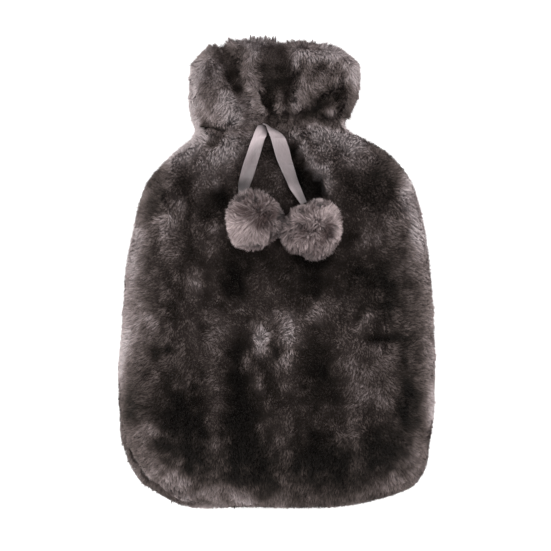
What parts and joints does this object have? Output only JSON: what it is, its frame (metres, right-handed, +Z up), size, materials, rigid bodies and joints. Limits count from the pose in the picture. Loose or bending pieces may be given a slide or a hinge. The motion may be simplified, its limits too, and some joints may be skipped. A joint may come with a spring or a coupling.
{
  "type": "hot water bottle cover",
  "caption": "Faux-fur cover with a gathered collar, a ribbon tie and fur pompoms, lying on its back, open at the collar and hollow inside.",
  "frame": {"origin": "centre of the underside on the surface that the cover lies on", "axes": "+Y from the bottom edge to the collar, +X to the right in front view, +Z up out of the front panel"},
  "size_m": [0.233, 0.3488, 0.1011],
  "materials": {
    "fur": "deep matt faux fur, brushed in dark and light patches",
    "ribbon": "satin weave, soft gloss",
    "pompom": "faux fur, lighter than the panels"
  },
  "bodies": {
    "root": {"front_panel": "fur", "back_panel": "fur", "ribbon_left": "ribbon", "ribbon_right": "ribbon", "pompom_left": "pompom", "pompom_right": "pompom"}
  },
  "joints": []
}
